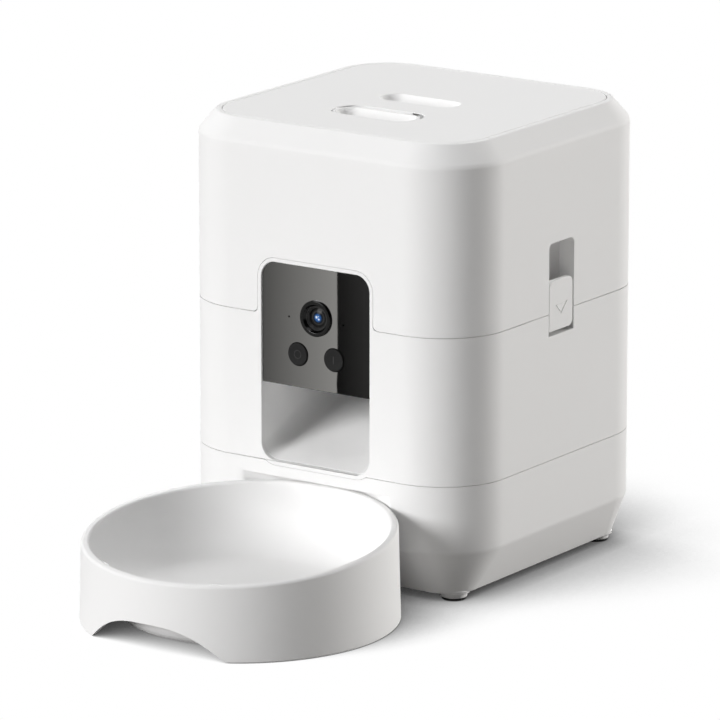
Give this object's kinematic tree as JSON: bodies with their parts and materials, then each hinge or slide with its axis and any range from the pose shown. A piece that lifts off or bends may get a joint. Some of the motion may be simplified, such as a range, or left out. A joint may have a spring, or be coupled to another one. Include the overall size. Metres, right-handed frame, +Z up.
{
  "type": "automatic pet feeder with camera",
  "caption": "Square white pet feeder with a camera window, food chute, lift-off tank and lid, rotor drive and slide-out bowl.",
  "frame": {"origin": "bottom centre of the whole footprint, housing and bowl together, on the floor plane", "axes": "+Z up, -Y towards the front where the bowl stands, +X to the feeder's left as it faces the pet"},
  "size_m": [0.2, 0.3622, 0.2635],
  "materials": {
    "white_shell": "fine satin",
    "inner_white": "satin",
    "seal": "soft matte",
    "rubber": "matte",
    "paddle": "soft matte",
    "black_gloss": "high gloss",
    "black_matte": "satin",
    "glass": "coated",
    "board": "solder mask",
    "steel": "plated",
    "motor_can": "plated can",
    "gear_resin": "moulded"
  },
  "bodies": {
    "base": {"middle_shell": "white_shell", "window_frame": "white_shell", "base_pockets": "white_shell", "camera_box": "inner_white", "chute": "white_shell", "camera_panel": "black_gloss", "lens_ring": "black_matte", "lens_glass": "glass", "camera_board": "board", "camera_cover": "inner_white", "camera_screws": "steel", "clasp_pins": "steel", "rotor_deck": "inner_white", "deck_screws": "steel", "idler_pin": "steel", "motor": "motor_can", "gearbox_case": "gear_resin", "gearbox_cover": "gear_resin", "gearbox_screws": "steel", "lower_shell": "white_shell", "bottom_cover": "inner_white", "cover_screws": "steel", "foot_pads": "rubber", "main_board": "board", "speaker": "black_matte", "power_inlet": "black_matte"},
    "tank": {"tank_shell": "white_shell", "tank_rim": "white_shell", "tank_pockets": "white_shell", "tank_hopper": "inner_white"},
    "lid": {"lid": "white_shell", "lid_tray": "inner_white", "lid_seal": "seal", "desiccant_cup": "inner_white", "desiccant_cap": "inner_white", "latch_spring": "steel"},
    "lid_latch": {"lid_latch": "white_shell"},
    "clasp_right": {"clasp_right": "white_shell"},
    "clasp_left": {"clasp_left": "white_shell"},
    "button_left": {"button_left": "black_matte"},
    "button_right": {"button_right": "black_matte"},
    "bowl": {"bowl": "white_shell", "bowl_base": "white_shell"},
    "rotor": {"rotor": "paddle", "drive_spindle": "steel", "output_wheel": "gear_resin"},
    "idler": {"idler_gear": "gear_resin"},
    "pinion": {"motor_pinion": "steel"}
  },
  "joints": [
    {"name": "tank_lift", "type": "slide", "parent": "base", "child": "tank", "axis": [0, 0, 1], "range_m": [0, 0.06]},
    {"name": "lid_lift", "type": "slide", "parent": "tank", "child": "lid", "axis": [0, 0, 1], "range_m": [0, 0.05]},
    {"name": "latch_slide", "type": "slide", "parent": "lid", "child": "lid_latch", "axis": [0, 1, 0], "range_m": [0, 0.0026], "stiffness_N_per_m": 400, "springref_m": -0.002, "deforming": ["latch_spring"]},
    {"name": "clasp_right_hinge", "type": "hinge", "parent": "base", "child": "clasp_right", "pos_m": [0.096, 0.08112, 0.1475], "axis": [0, 1, 0], "range_deg": [0, 80]},
    {"name": "clasp_left_hinge", "type": "hinge", "parent": "base", "child": "clasp_left", "pos_m": [-0.096, 0.08112, 0.1475], "axis": [0, -1, 0], "range_deg": [0, 80]},
    {"name": "button_left_press", "type": "slide", "parent": "base", "child": "button_left", "axis": [0, 1, 0], "range_m": [0, 0.0008], "stiffness_N_per_m": 1500, "springref_m": -0.0005},
    {"name": "button_right_press", "type": "slide", "parent": "base", "child": "button_right", "axis": [0, 1, 0], "range_m": [0, 0.0008], "stiffness_N_per_m": 1500, "springref_m": -0.0005},
    {"name": "bowl_slide", "type": "slide", "parent": "base", "child": "bowl", "axis": [0, -1, 0], "range_m": [0, 0.1]},
    {"name": "rotor_spin", "type": "hinge", "parent": "base", "child": "rotor", "pos_m": [0, 0.08112, 0.1], "axis": [0, 0, 1], "continuous": true},
    {"name": "idler_spin", "type": "hinge", "parent": "base", "child": "idler", "pos_m": [0, 0.10632, 0.08], "axis": [0, 0, 1], "continuous": true},
    {"name": "pinion_spin", "type": "hinge", "parent": "base", "child": "pinion", "pos_m": [0, 0.13152, 0.08], "axis": [0, 0, 1], "continuous": true}
  ],
  "couplings": [
    {"joint": "idler_spin", "follows": "rotor_spin", "ratio": -3},
    {"joint": "pinion_spin", "follows": "rotor_spin", "ratio": 9}
  ]
}
